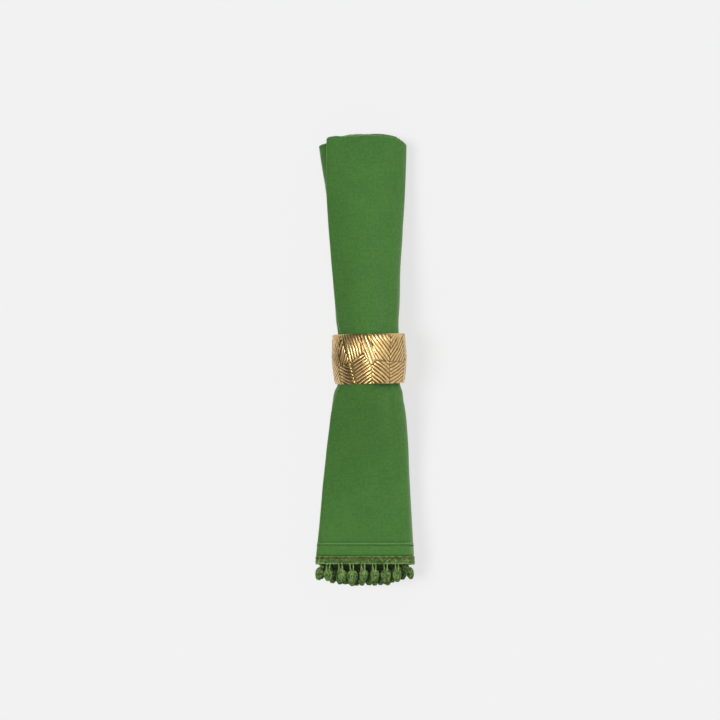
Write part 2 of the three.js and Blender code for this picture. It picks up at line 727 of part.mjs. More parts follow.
// The whole is moved so that the origin lies under its middle.
const box = new THREE.Box3().setFromObject(group);
const centre = box.getCenter(new THREE.Vector3());
for (const mesh of group.children) {
  mesh.position.set(-centre.x, -centre.y, 0);
}

export default group;
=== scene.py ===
# A folded table napkin with pompom trim, held in a ridged brass ring.
# Metres, +Z up. The origin is on the table under the middle of the whole, and +Y points to the folded end.
# Sizes that are named in millimetres are turned to metres where a mesh is made.

import math

import bpy
import numpy as np
from mathutils import Matrix, Vector


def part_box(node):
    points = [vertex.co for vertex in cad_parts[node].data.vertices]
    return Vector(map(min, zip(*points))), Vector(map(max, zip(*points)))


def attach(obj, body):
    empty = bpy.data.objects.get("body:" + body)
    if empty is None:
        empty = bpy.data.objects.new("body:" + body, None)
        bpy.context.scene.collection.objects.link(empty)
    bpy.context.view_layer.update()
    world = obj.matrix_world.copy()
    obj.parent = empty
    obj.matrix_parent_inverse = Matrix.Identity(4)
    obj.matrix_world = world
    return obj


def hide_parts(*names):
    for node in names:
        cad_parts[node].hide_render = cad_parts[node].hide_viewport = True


MM = 0.001

# The folded cloth, in millimetres from the point of the table under the middle of the ring.
FOLD_ORDER = [7, 1, 4, 5, 0, 8, 6, 2, 3]
TOP_LEVEL = 8
FRONT_FOLD_LOW = 6
FREE_END_SETBACK = 0.4
TURN_GAP = 0.45
LEAST_BOW = 0.75
DOUBLED_THICK = 1.2
DOUBLED_HEM_THICK = 2.0

# Sizes at places y along it: how far the front fold (left) and the folds under it (low) reach to the left,
# and all of them to the right, the distance between levels at the sides (edge) and in the middle (mid),
# the level that runs flat, how high the lowest one is held (base), and how far the largest turn bows (roll).
SECTION_NAMES = ["y", "left", "low", "right", "edge", "mid", "level", "base", "roll"]
SECTIONS = np.array([
    [-112, -29.6, -29.6, 25, 2.55, 2.6, 0, 0, 5],
    [-101.9, -28.65, -28.65, 24.3, 2.5, 2.58, 0, 0, 5],
    [-89, -27.35, -27.35, 23.5, 2.3, 2.5, 0.1, 0, 5],
    [-75, -26.2, -26.2, 22.9, 2.25, 2.6, 0.5, 0, 6],
    [-62, -24.85, -24.85, 22.2, 2.3, 2.85, 1.1, 0, 6.5],
    [-48.5, -23.4, -23.4, 21.75, 2.4, 3.25, 2.1, 0.1, 7],
    [-39.5, -22.2, -22.2, 21.1, 2.45, 3.6, 2.8, 0.4, 7],
    [-30.5, -21, -21.15, 20.1, 2.45, 3.9, 3.4, 1.1, 7],
    [-21.5, -18.9, -19.7, 18.7, 2.35, 4.15, 3.8, 2.1, 6.7],
    [-13.7, -15.95, -17.05, 16.95, 2.2, 4.28, 4, 3.13, 6.4],
    [13.7, -16.05, -17.25, 16.55, 2.2, 4.28, 4, 3.13, 6.4],
    [21, -17.6, -18.25, 16.3, 2.35, 4.2, 3.9, 2.4, 6.6],
    [30, -18.8, -18.95, 16.6, 2.45, 4.05, 3.7, 1.4, 6.9],
    [48, -20.5, -20.5, 17.2, 2.5, 3.8, 3, 0.4, 7.3],
    [66, -21.85, -21.85, 18.35, 2.4, 3.4, 2, 0, 7.6],
    [84, -23.15, -23.15, 19.35, 2.25, 2.9, 1, 0, 7.8],
    [97.5, -23.9, -24.5, 20.1, 2.05, 2.5, 0.3, 0, 7.8],
    [108, -23.8, -26.2, 20.4, 1.9, 2.2, 0, 0, 7.6],
    [126, -23.8, -28, 20.7, 1.8, 2.05, 0, 0, 7.2],
])
TOP_END = 126.4
FRONT_PULL = 1.8
FRONT_PULL_POWER = 4
LEFT_DROP = 0.006
FRONT_LEFT_DROP = 0.0012
FRONT_LEVELS = (6.5, 8)
RIGHT_DROP = 0.000032
LOW_CORNER_DROP = 1.9
LOW_CORNER_LEVEL = 5.5
LOW_CORNER_FROM = 14
LOW_CORNER_TO = 23
TRIM_END = -108.8
TRIM_BACK_REACH = 1.4
TRIM_BACK_POWER = 3
HEM_TOP = -101.9
HEM_MIDDLE = -105.4
FULLER_RIGHT = 0.4  # how far the cloth bulges past its solid at the right
NECK_FLARE = 0.65  # how much more it flares just below the ring
NECK_FLARE_AT = -18
NECK_FLARE_REACH = 3
CLEAR_OF_RING = (15, 29)  # from the ring's middle, where the cloth is still held and where it is free
SWAY = 0.22  # how far each level wavers aside along the cloth
RIPPLE = 0.05  # how far its face ripples
PINCH = 0.22  # how deep the small creases beside the ring are, at the top level
PINCH_AT = 22
PINCH_REACH = 16
TOP_FOLD_INSIDE = 0.3  # how far the fold at the folded end lies inside its drawn curve

# One ply of the cloth, and how finely its folds are drawn.
PLY_INSIDE = 0.1
PLY_OUTSIDE = 0.6
HEM_OUTSIDE = 1.0
HEM_BEAD_OUTSIDE = 1.12
HEM_EDGE_OUTSIDE = 0.8
RUN_PIECES = 12
TURN_PIECES = 4
TURN_PIECES_PER_LEVEL = 1.2
ROW_STEP = 2.3
END_ARC_PIECES = 6
FOLDED_SLANT_FROM = 108
TRIMMED_SLANT_FROM = -89

# The trim.
PIECE_GAP = 0.3
BRAID_THICK = 0.8
BRAID_WIDTH = 4.5
POMPOM_PITCH = 6.3
POMPOM_HALF_WIDTH = 2.45
POMPOM_HALF_THICK = 2.1
POMPOM_LENGTH = 6.9
LOWEST_POMPOM = 1.7
POMPOM_RISE = 2.65
ON_TABLE = 0.03
POMPOM_START = -3.45
SIDE_SETBACKS = {"outer": 0.6, "inner": 4.5}
LONGEST_LEAN = 2.0
STRING_LENGTHS = {"outer": 3.0, "inner": 5.6}

rng = np.random.default_rng(7)


# Shader sums

def colour(red, green, blue):
    """A colour given in the 0 to 255 of a screen, as a shader takes it."""
    linear = [(part / 255 / 12.92) if part < 10.3 else ((part / 255 + 0.055) / 1.055) ** 2.4
              for part in (red, green, blue)]
    return (*linear, 1.0)


class Amount:
    """A number in a shader. Sums with it add Math nodes."""

    def __init__(self, finish, socket):
        self.finish = finish
        self.socket = socket

    def _sum(self, operation, first, second=0.0):
        return self.finish.node("ShaderNodeMath", {"operation": operation}, {0: first, 1: second})

    def __add__(self, other):
        return self._sum("ADD", self, other)

    __radd__ = __add__

    def __sub__(self, other):
        return self._sum("SUBTRACT", self, other)

    def __rsub__(self, other):
        return self._sum("SUBTRACT", other, self)

    def __mul__(self, other):
        return self._sum("MULTIPLY", self, other)

    __rmul__ = __mul__

    def wave(self):
        return self._sum("SINE", self)

    def size(self):
        return self._sum("ABSOLUTE", self)

    def over(self, other):
        return self._sum("GREATER_THAN", self, other)


class Finish:
    """One material, made of nodes."""

    def __init__(self, name):
        self.material = bpy.data.materials.new(name)
        self.material.use_nodes = True
        self.tree = self.material.node_tree
        self.shader = self.tree.nodes["Principled BSDF"]

    def node(self, kind, settings=None, values=None, output=0):
        node = self.tree.nodes.new(kind)
        for name, value in (settings or {}).items():
            if name == "stops":
                self.set_stops(node.color_ramp, value)
            else:
                setattr(node, name, value)
        for key, value in (values or {}).items():
            self.put(node.inputs[key], value)
        return Amount(self, node.outputs[output])

    def set_stops(self, ramp, stops):
        while len(ramp.elements) < len(stops):
            ramp.elements.new(0.5)
        for element, (position, shade) in zip(ramp.elements, stops):
            element.position = position
            element.color = shade

    def put(self, socket, value):
        if isinstance(value, Amount):
            self.tree.links.new(value.socket, socket)
        else:
            socket.default_value = value

    def mix(self, share, first, second):
        return self.node("ShaderNodeMix", {"data_type": "RGBA"}, {0: share, 6: first, 7: second}, 2)

    def map_range(self, value, low, high, to_low=0.0, to_high=1.0):
        settings = {"clamp": True, "interpolation_type": "SMOOTHSTEP"}
        return self.node("ShaderNodeMapRange", settings, {0: value, 1: low, 2: high, 3: to_low, 4: to_high})

    def noise(self, place, scale, detail=2.0, roughness=0.5):
        values = {"Vector": place, "Scale": scale, "Detail": detail, "Roughness": roughness}
        return self.node("ShaderNodeTexNoise", None, values)

    def parts(self, place):
        node = self.tree.nodes.new("ShaderNodeSeparateXYZ")
        self.put(node.inputs[0], place)
        return [Amount(self, output) for output in node.outputs]

    def place(self, x, y, z=0.0):
        return self.node("ShaderNodeCombineXYZ", None, {0: x, 1: y, 2: z})

    def bump(self, height, distance, strength=1.0, under=None):
        values = {"Height": height, "Distance": distance, "Strength": strength}
        if under is not None:
            values["Normal"] = under
        return self.node("ShaderNodeBump", None, values)

    def set(self, **values):
        for name, value in values.items():
            self.put(self.shader.inputs[name.replace("_", " ")], value)
        return self.material


# Finishes. Lengths in them are metres, and scales count per metre.

THREAD_PITCH = 0.00042
CLOTH_GREEN = colour(50, 92, 36)
CLOTH_DARK = colour(50, 90, 28)
CLOTH_LIGHT = colour(96, 140, 62)
# Painted shadow: a dark line just above the top of each hem, where the raised hem edge casts shade.
HEM_TOP_SHADOW = colour(38, 74, 30)
SHADOW_OVER_HEM_TOP = 0.0003
# Painted highlight: a pale line just under the top of each hem, where its raised edge catches the light.
HEM_TOP_HIGHLIGHT = colour(98, 142, 74)
HIGHLIGHT_UNDER_HEM_TOP = 0.00042
PATCH_SCALE = 620.0
FIBRE_SCALE = 3600.0
# The grooves' dark brown is partly patina and partly painted shade.
BRASS_GROOVE_PATINA_AND_SHADE = colour(82, 56, 20)
BRASS_DULL = colour(212, 175, 110)
BRASS_BRIGHT = colour(234, 198, 134)


def cloth_finish():
    """Plain weave on the sheet's cut, with a painted shadow line just above the top of each hem and a
    painted highlight just below it.
    """
    finish = Finish("green_cotton")
    uv = finish.node("ShaderNodeUVMap", {"uv_map": "cut"})
    across, along, _ = finish.parts(uv)
    turn = 2 * math.pi / (2 * THREAD_PITCH)
    weft = (across * turn).wave()
    warp = (along * turn).wave()
    over = (weft * warp).over(0.0)
    height = weft.size() * over + warp.size() * (1 - over)
    clouds = finish.noise(uv, 45.0, 2.0, 0.55)
    flecks = finish.noise(uv, 700.0, 2.0, 0.6)
    slub_along = finish.noise(finish.place(across * 1300, along * 110), 1.0, 1.0)
    slub_across = finish.noise(finish.place(across * 110, along * 1300), 1.0, 1.0)
    slub = (slub_along + slub_across) * 0.5
    shade = clouds * 0.2 + flecks * 0.45 + slub * 0.35
    base = finish.mix(finish.map_range(shade, 0.45, 0.55), CLOTH_DARK, CLOTH_LIGHT)
    base = finish.mix(height * 0.2, CLOTH_GREEN, base)
    y = TOP_END * MM - (TOP_END * MM - along).size()
    below_hem_top = HEM_TOP * MM - y
    hem = finish.map_range(below_hem_top, 0.0002, 0.0008)
    base = finish.mix(hem * 0.08, base, CLOTH_LIGHT)
    # Painted shadow along the hem's raised top edge.
    hem_top_shadow = finish.map_range((below_hem_top + SHADOW_OVER_HEM_TOP).size(), 0.0005, 0.0002)
    base = finish.mix(hem_top_shadow * 0.55, base, HEM_TOP_SHADOW)
    # Painted highlight along the hem's raised top edge.
    hem_top_highlight = finish.map_range((below_hem_top - HIGHLIGHT_UNDER_HEM_TOP).size(), 0.0004, 0.0002)
    base = finish.mix(hem_top_highlight * 0.35, base, HEM_TOP_HIGHLIGHT)
    rough = finish.map_range(slub, 0.2, 0.8, 0.84, 0.95)
    weave = finish.bump(height, 0.00006, 0.6)
    fuzz = finish.bump(slub, 0.00012, 0.5, weave)
    return finish.set(
        Base_Color=base,
        Roughness=rough,
        Normal=fuzz,
        Sheen_Weight=0.7,
        Sheen_Roughness=0.35,
        Sheen_Tint=colour(220, 240, 195),
        Specular_IOR_Level=0.25,
    )


def yarn_finish(name, dark, light):
    """Soft cotton yarn with fine fibres, in patches from dark to light."""
    finish = Finish(name)
    place = finish.node("ShaderNodeTexCoord", output=3)
    patches = finish.noise(place, PATCH_SCALE, 2.0)
    fibres = finish.noise(place, FIBRE_SCALE, 3.0, 0.7)
    shade = finish.map_range(patches * 0.7 + fibres * 0.3, 0.4, 0.6)
    return finish.set(
        Base_Color=finish.mix(shade, dark, light),
        Roughness=finish.map_range(fibres, 0.3, 0.7, 0.82, 0.95),
        Normal=finish.bump(fibres, 0.00012, 0.7),
        Sheen_Weight=0.3,
        Sheen_Roughness=0.4,
        Sheen_Tint=colour(215, 230, 180),
        Specular_IOR_Level=0.2,
    )


def brass_finish():
    """Cast brass, polished on the crests, dull in the grooves and darkened there with patina and painted
    shade.
    """
    finish = Finish("cast_brass")
    place = finish.node("ShaderNodeTexCoord", output=3)
    crest = finish.node("ShaderNodeAttribute", {"attribute_name": "crest"}, output=2)
    cloud = finish.noise(place, 420.0, 3.0, 0.6)
    # 0 in the grooves, which take the patina and painted shade, and 1 on the worn crests.
    wear_and_groove_shade = finish.map_range(crest + (cloud - 0.5) * 0.12, 0.05, 0.55)
    tone = finish.mix(finish.map_range(cloud, 0.35, 0.65), BRASS_DULL, BRASS_BRIGHT)
    grain = finish.noise(place, 3200.0, 2.0, 0.6)
    return finish.set(
        Base_Color=finish.mix(wear_and_groove_shade, BRASS_GROOVE_PATINA_AND_SHADE, tone),
        Metallic=1.0,
        Coat_Weight=0.45,
        Coat_Roughness=0.2,
        Roughness=finish.map_range(wear_and_groove_shade * 0.8 + grain * 0.2, 0.1, 0.9, 0.46, 0.31),
        Normal=finish.bump(grain, 0.00004, 0.5),
    )


def floor_finish():
    """A plain pale table top that glows."""
    finish = Finish("light_table")
    place = finish.node("ShaderNodeTexCoord", output=3)
    tone = finish.noise(place, 3.0, 1.0)
    return finish.set(
        Base_Color=finish.mix(tone, (0.168, 0.168, 0.168, 1), (0.172, 0.172, 0.172, 1)),
        Roughness=0.9,
        Specular_IOR_Level=0.0,
        Emission_Color=(1.0, 1.0, 1.0, 1),
        Emission_Strength=FLOOR_GLOW,
    )


# The folds

def sections(ys):
    """The named sizes of the folded cloth at each y, on a smooth curve through the table's rows."""
    at = SECTIONS[:, 0]
    last_row = len(at) - 1
    after = np.clip(np.searchsorted(at, ys, side="right"), 1, last_row)
    before = after - 1
    is_first = before == 0
    is_last = after == last_row
    row_before = np.where(is_first, after, before - 1)
    row_after = np.where(is_last, before, np.minimum(after + 1, last_row))
    start, end = at[before], at[after]
    half = (end - start) / 2
    pull_before = half / (start - at[row_before])
    pull_after = half / (at[row_after] - end)
    p = (ys - start) / (end - start)
    square = p ** 2
    cube = p ** 3
    weights = [
        (row_before, pull_before * (2 * square - cube - p)),
        (before, (1 + pull_before) * cube - (1.5 + 2 * pull_before) * square + (pull_before - 0.5) * p + 1),
        (after, (1.5 + pull_after) * square - (1 + pull_after) * cube + 0.5 * p),
        (row_after, pull_after * (cube - square)),
    ]
    values = sum(SECTIONS[rows] * weight[..., None] for rows, weight in weights)
    section = {name: values[..., i] for i, name in enumerate(SECTION_NAMES)}
    section["level"] = np.maximum(0, section["level"])
    section["base"] = np.maximum(0, section["base"])
    section["low"] = np.minimum(section["left"], section["low"])
    flare = NECK_FLARE * np.exp(-((ys - NECK_FLARE_AT) / NECK_FLARE_REACH) ** 2)
    for side in ("left", "low"):
        section[side] = section[side] - flare
    section["right"] = section["right"] + flare + FULLER_RIGHT * clear_of_ring(ys)
    return section


def list_turns():
    """The turns between the runs: their two levels, way, side, and how many others they lie inside."""
    turns = []
    for i, (first, second) in enumerate(zip(FOLD_ORDER, FOLD_ORDER[1:])):
        turns.append({
            "low": min(first, second),
            "high": max(first, second),
            "up": 1 if second > first else -1,
            "side": 1 if i % 2 == 0 else -1,
        })
    for turn in turns:
        turn["depth"] = sum(
            other["side"] == turn["side"] and other["low"] < turn["low"] and other["high"] > turn["high"]
            for other in turns
        )
    return turns


TURNS = list_turns()
FRONT_TURN = [turn["low"] for turn in TURNS].index(FRONT_FOLD_LOW)


def turn_shape(turn, section, thick):
    """How far a turn bows out, and the x of its centre."""
    rise = (turn["high"] - turn["low"]) / 2 * section["edge"]
    squeeze = np.minimum(1, section["roll"] / (TOP_LEVEL / 2 * section["edge"]))
    bow = np.maximum(rise * squeeze, np.minimum(rise, thick * LEAST_BOW))
    nest = turn["depth"] * np.maximum(thick + TURN_GAP, section["edge"] * squeeze)
    left_reach = section["left"] if turn["low"] == FRONT_FOLD_LOW else section["low"]
    reach = section["right"] if turn["side"] > 0 else left_reach
    return bow, reach - turn["side"] * (thick / 2 + nest + bow)


def level_height(level, section, thick, share):
    """z of a level. share is 0 in the middle of its run, where the levels swell apart, and 1 at its ends."""
    swell = (section["mid"] - section["edge"]) * (1 - share * share)
    flat = section["base"] + thick / 2 + section["level"] * section["mid"]
    return flat + (level - section["level"]) * (section["edge"] + swell)


def line_stops():
    """Stops along the doubled cloth, from one free end to the other: run or turn, place in it, level."""
    stops = []
    for i, level in enumerate(FOLD_ORDER):
        stops += [("run", i, k / RUN_PIECES, level) for k in range(RUN_PIECES + 1)]
        if i < len(TURNS):
            turn = TURNS[i]
            pieces = TURN_PIECES + math.ceil((turn["high"] - turn["low"]) * TURN_PIECES_PER_LEVEL)
            for k in range(1, pieces):
                angle = math.pi * k / pieces
                half = (turn["high"] - turn["low"]) / 2
                level_there = (turn["low"] + turn["high"]) / 2 - turn["up"] * math.cos(angle) * half
                stops.append(("turn", i, angle, level_there))
    return stops


STOPS = line_stops()
LEVELS = np.array([stop[3] for stop in STOPS])
FRONT_MIDDLE = STOPS.index(("run", FRONT_TURN, 0.5, TOP_LEVEL))


def smooth_share(values, start, end):
    """0 up to start, rising smoothly to 1 at end."""
    share = np.clip((values - start) / (end - start), 0, 1)
    return share * share * (3 - 2 * share)


def sway(ys, level, reach, seed):
    """A slow waver along the cloth, a different one on each level."""
    phase = 1.7 * level + seed
    long_wave = np.sin(ys / 17.0 + phase)
    middle_wave = 0.6 * np.sin(ys / 7.3 + 2.1 * phase)
    short_wave = 0.35 * np.sin(ys / 3.9 + 3.3 * phase)
    return reach * (long_wave + middle_wave + short_wave) / 2


def clear_of_ring(ys):
    """0 in the ring, rising to 1 a little way from it."""
    return smooth_share(np.abs(ys), *CLEAR_OF_RING)


def fold_lines(ys, thicks):
    """x and z of the middle of the doubled cloth. ys and thicks have one row for each stop."""
    xs = np.zeros_like(ys)
    zs = np.zeros_like(ys)
    for row, (kind, i, place, level) in enumerate(STOPS):
        section = sections(ys[row])
        thick = thicks[row]
        shapes = {k: turn_shape(TURNS[k], section, thick)
                  for k in {max(0, i - 2), max(0, i - 1), min(i, len(TURNS) - 1), FRONT_TURN}}
        if kind == "run":
            front_x = shapes[FRONT_TURN][1]
            start = shapes[i - 1][1] if i > 0 else front_x + FREE_END_SETBACK * section["edge"]
            end = shapes[i][1] if i < len(TURNS) else shapes[i - 2][1]
            xs[row] = start + (end - start) * place
            zs[row] = level_height(level, section, thick, 2 * place - 1)
        else:
            bow, centre = shapes[i]
            xs[row] = centre + TURNS[i]["side"] * bow * math.sin(place)
            zs[row] = level_height(level, section, thick, 1)
    return xs, zs


def folded_end(xs, levels):
    """y of the first fold, which is where the cloth ends at the top."""
    left = LEFT_DROP + (FRONT_LEFT_DROP - LEFT_DROP) * smooth_share(levels, *FRONT_LEVELS)
    drop = np.where(xs < 0, left * xs ** 2, RIGHT_DROP * xs ** 4)
    pull = FRONT_PULL * (levels / TOP_LEVEL) ** FRONT_PULL_POWER
    corner = np.where(levels < LOW_CORNER_LEVEL, LOW_CORNER_DROP, 0)
    corner = corner * smooth_share(-xs, LOW_CORNER_FROM, LOW_CORNER_TO)
    waver = 0.22 * np.sin(xs / 3.1 + levels) + 0.15 * np.sin(xs / 1.3 + 2 * levels)
    return TOP_END - pull - drop - corner + waver - TOP_FOLD_INSIDE


def trimmed_end(levels):
    """y of the hemmed edges, a little further out on the levels behind."""
    return TRIM_END - TRIM_BACK_REACH * (1 - (levels / TOP_LEVEL) ** TRIM_BACK_POWER)


def faces_between(count, rows, start, turned=False):
    """Quads of a grid whose points are numbered row by row along the second way."""
    faces = []
    for i in range(count - 1):
        a, b = start + i * rows, start + (i + 1) * rows
        for j in range(rows - 1):
            face = (a + j, b + j, b + j + 1, a + j + 1)
            faces.append(face[::-1] if turned else face)
    return faces


def mesh_piece(name, points, faces, finishes, indices=None):
    """A mesh from points in millimetres about the middle of the ring."""
    mesh = bpy.data.meshes.new(name)
    placed = (np.asarray(points) + [RING_X, RING_Y, 0]) * MM
    placed[:, 2] = np.maximum(placed[:, 2], 0)
    mesh.from_pydata(placed.tolist(), [], faces)
    for finish in finishes:
        mesh.materials.append(finish)
    if indices is not None:
        mesh.polygons.foreach_set("material_index", indices)
    mesh.polygons.foreach_set("use_smooth", [True] * len(mesh.polygons))
    mesh.validate()
    mesh.update()
    piece = bpy.data.objects.new(name, mesh)
    bpy.context.scene.collection.objects.link(piece)
    return piece


def row_places():
    """y of the rows of the sheet, from the trimmed end to the folded end, before the ends are slanted."""
    hem = [TRIM_END, TRIM_END + 0.25, TRIM_END + 1.2, HEM_MIDDLE]
    hem += [HEM_TOP + over for over in (-1.4, -0.8, -0.5, -0.2, 0, 0.2, 0.5, 1.3)]
    count = round((TOP_END - hem[-1]) / ROW_STEP)
    rest = np.linspace(hem[-1], TOP_END, count + 1)[1:]
    return np.concatenate([hem, rest])


def outside_at(rows):
    """How far the outer face of a ply lies from the middle of the doubled cloth."""
    below = HEM_TOP - rows
    outside = np.where(below > 0.1, HEM_OUTSIDE, PLY_OUTSIDE)
    outside = np.where(np.abs(below - 0.35) < 0.2, HEM_BEAD_OUTSIDE, outside)
    outside = np.where(np.abs(below) < 0.1, (HEM_OUTSIDE + PLY_OUTSIDE) / 2, outside)
    outside[0] = HEM_EDGE_OUTSIDE
    return outside


def line_normals(xs, zs):
    """Unit normals of the fold lines, towards the ply that shows at the front."""
    along_x = np.gradient(xs, axis=0)
    along_z = np.gradient(zs, axis=0)
    length = np.hypot(along_x, along_z)
    return along_z / length, -along_x / length


def sheet_lines(rows):
    """x, y and z of the middle of the doubled cloth, for each stop across and each row along."""
    count = len(STOPS)
    end_x, _ = fold_lines(np.full((count, 1), TOP_END), np.full((count, 1), DOUBLED_THICK))
    top = folded_end(end_x[:, 0], LEVELS)[:, None] - PLY_OUTSIDE
    low = trimmed_end(LEVELS)[:, None]
    flat = np.broadcast_to(rows, (count, len(rows)))
    folded_share = np.clip((flat - FOLDED_SLANT_FROM) / (TOP_END - FOLDED_SLANT_FROM), 0, 1)
    trimmed_share = np.clip((TRIMMED_SLANT_FROM - flat) / (TRIMMED_SLANT_FROM - HEM_TOP), 0, 1)
    ys = flat + folded_share * (top - TOP_END) + trimmed_share * (low - TRIM_END)
    thicks = np.broadcast_to(np.where(rows < HEM_TOP, DOUBLED_HEM_THICK, DOUBLED_THICK), ys.shape)
    xs, zs = fold_lines(flat, thicks)
    free = clear_of_ring(ys)
    levels = LEVELS[:, None]
    pinch = np.exp(-((np.abs(ys) - PINCH_AT) / PINCH_REACH) ** 2) * free * (levels / TOP_LEVEL)
    xs = xs + free * sway(ys, levels, SWAY, 0.4)
    zs = zs + free * RIPPLE * np.sin(ys / 11.0 + xs / 6.0 + levels)
    zs = zs + pinch * PINCH * np.sin(xs / 2.6 + 0.8 * levels)
    return xs, ys, np.maximum(zs, thicks / 2)


def sheet_columns(row_count):
    """The sheet from hem to hem: up the front ply, over the fold and down the other ply.

    Each column has its row, and which share of a distance it lies to the front and past the fold.
    """
    last = row_count - 1
    columns = [(j, 1.0, 0.0) for j in range(row_count)]
    for angle in np.linspace(0, math.pi, END_ARC_PIECES + 1)[1:-1]:
        columns.append((last, math.cos(angle), math.sin(angle)))
    columns += [(j, -1.0, 0.0) for j in range(last, -1, -1)]
    return columns


def skin(lines, normals, distances, columns):
    """The points of one face of the cloth, at a distance from its middle that each row has."""
    xs, ys, zs = lines
    normal_x, normal_z = normals
    points = []
    for j, front, beyond in columns:
        aside = distances[j] * front
        points.append(np.stack([
            xs[:, j] + normal_x[:, j] * aside,
            ys[:, j] + distances[j] * beyond,
            zs[:, j] + normal_z[:, j] * aside,
        ], axis=-1))
    return np.stack(points, axis=1).reshape(-1, 3)


def sheet_faces(count, width):
    """Quads of the outer and the inner face, and of the cloth's edges between them."""
    shift = count * width
    faces = faces_between(count, width, 0) + faces_between(count, width, shift, turned=True)
    for j, flip in ((0, False), (width - 1, True)):
        for i in range(count - 1):
            a = i * width + j
            face = (a, shift + a, shift + a + width, a + width)
            faces.append(face[::-1] if flip else face)
    for i, flip in ((0, True), (count - 1, False)):
        for j in range(width - 1):
            a = i * width + j
            face = (a, shift + a, shift + a + 1, a + 1)
            faces.append(face[::-1] if flip else face)
    return faces


def lay_cut(sheet, lines, columns):
    """A UV map in metres of the cloth laid flat: across from the front's middle, along from the ring."""
    xs, ys, zs = lines
    steps = np.hypot(np.diff(xs, axis=0), np.diff(zs, axis=0))
    arc = np.concatenate([np.zeros((1, steps.shape[1])), np.cumsum(steps, axis=0)])
    arc = arc - arc[FRONT_MIDDLE]
    across = np.stack([arc[:, j] for j, _, _ in columns], axis=1)
    along = np.stack([
        2 * TOP_END - ys[:, j] if front == -1 else ys[:, j] for j, front, _ in columns
    ], axis=1)
    cut = np.stack([across, along], axis=-1).reshape(-1, 2) * MM
    cut = np.concatenate([cut, cut])
    layer = sheet.data.uv_layers.new(name="cut")
    corners = np.zeros(len(sheet.data.loops), dtype=int)
    sheet.data.loops.foreach_get("vertex_index", corners)
    layer.data.foreach_set("uv", cut[corners].ravel())


def napkin_sheet(finish):
    """The whole cloth as one folded sheet with its two plies."""
    rows = row_places()
    lines = sheet_lines(rows)
    normals = line_normals(lines[0], lines[2])
    columns = sheet_columns(len(rows))
    outer = skin(lines, normals, outside_at(rows), columns)
    inner = skin(lines, normals, np.full(len(rows), PLY_INSIDE), columns)
    faces = sheet_faces(len(STOPS), len(columns))
    sheet = mesh_piece("napkin_cloth", np.concatenate([outer, inner]), faces, [finish])
    lay_cut(sheet, lines, columns)
    return sheet


# Lines along the trimmed edge

def edge_line(y_from_edge, aside):
    """Points and normals along the hemmed edge, a way up the cloth from it and aside to the front ply."""
    ys = np.full((len(STOPS), 1), TRIM_END + max(0, y_from_edge))
    xs, zs = fold_lines(ys, np.full_like(ys, DOUBLED_HEM_THICK))
    normal_x, normal_z = line_normals(xs, zs)
    normals = np.stack([normal_x[:, 0], np.zeros(len(STOPS)), normal_z[:, 0]], axis=-1)
    points = np.stack([xs[:, 0], trimmed_end(LEVELS) + y_from_edge, zs[:, 0]], axis=-1)
    return points + normals * aside, normals


def spaced(points, extra, step):
    """The line through points at even steps, with extra values carried along."""
    gaps = np.linalg.norm(np.diff(points, axis=0), axis=1)
    place = np.concatenate([[0], np.cumsum(gaps)])
    count = max(2, round(place[-1] / step) + 1)
    wanted = np.linspace(0, place[-1], count)

    def carried(values):
        return np.stack([np.interp(wanted, place, column) for column in values.T], axis=-1)

    return carried(points), carried(extra), wanted


def unit(vectors):
    """The same ways, each with a length of 1."""
    return vectors / np.linalg.norm(vectors, axis=-1, keepdims=True)


def tube(path, up, radius, sides, lobes=0, lobe_depth=0.0, twist_pitch=1.0, closed=False):
    """Points and faces of a round or lobed cord along a path. up points across the path at each point."""
    if closed:
        ahead = np.roll(path, -1, axis=0) - np.roll(path, 1, axis=0)
    else:
        ahead = np.gradient(path, axis=0)
    ahead = unit(ahead)
    across = unit(np.cross(ahead, up))
    over = np.cross(across, ahead)
    gaps = np.linalg.norm(np.diff(path, axis=0), axis=1)
    place = np.concatenate([[0], np.cumsum(gaps)])
    around = np.linspace(0, 2 * math.pi, sides, endpoint=False)
    twisted = around[None] - 2 * math.pi * place[:, None] / twist_pitch
    lobe = 1 - lobe_depth * (0.5 - 0.5 * np.cos(lobes * twisted))
    reach = (np.broadcast_to(radius, len(path))[:, None] * lobe)[..., None]
    rim = np.cos(around)[None, :, None] * across[:, None] + np.sin(around)[None, :, None] * over[:, None]
    points = (path[:, None] + reach * rim).reshape(-1, 3)
    faces = []
    last = len(path) if closed else len(path) - 1
    for i in range(last):
        a, b = i * sides, (i + 1) % len(path) * sides
        for k in range(sides):
            n = (k + 1) % sides
            faces.append((a + k, b + k, b + n, a + n))
    if not closed:
        faces.append(tuple(range(sides)))
        end = (len(path) - 1) * sides
        faces.append(tuple(end + k for k in reversed(range(sides))))
    return points, faces


class Bundle:
    """Gathers many small meshes into one piece."""

    def __init__(self):
        self.points = []
        self.faces = []
        self.indices = []
        self.count = 0

    def add(self, points, faces, index=0):
        self.points.append(points)
        self.faces += [tuple(corner + self.count for corner in face) for face in faces]
        self.indices += [index] * len(faces)
        self.count += len(points)

    def piece(self, name, finishes):
        return mesh_piece(name, np.concatenate(self.points), self.faces, finishes, indices=self.indices)


# Stitches

STITCH_PITCH = 1.5
STITCH_LENGTH = 0.3
STITCH_RADIUS = 0.34
STITCH_FROM_EDGE = 5.6
STITCH_SHARES = np.array([-0.5, -0.3, 0.0, 0.3, 0.5])  # of its length, where a stitch has its rings
STITCH_FATNESS = np.array([0.35, 0.9, 1.0, 0.9, 0.35])
STITCH_HEIGHTS = np.array([-0.12, 0.02, 0.06, 0.02, -0.12])


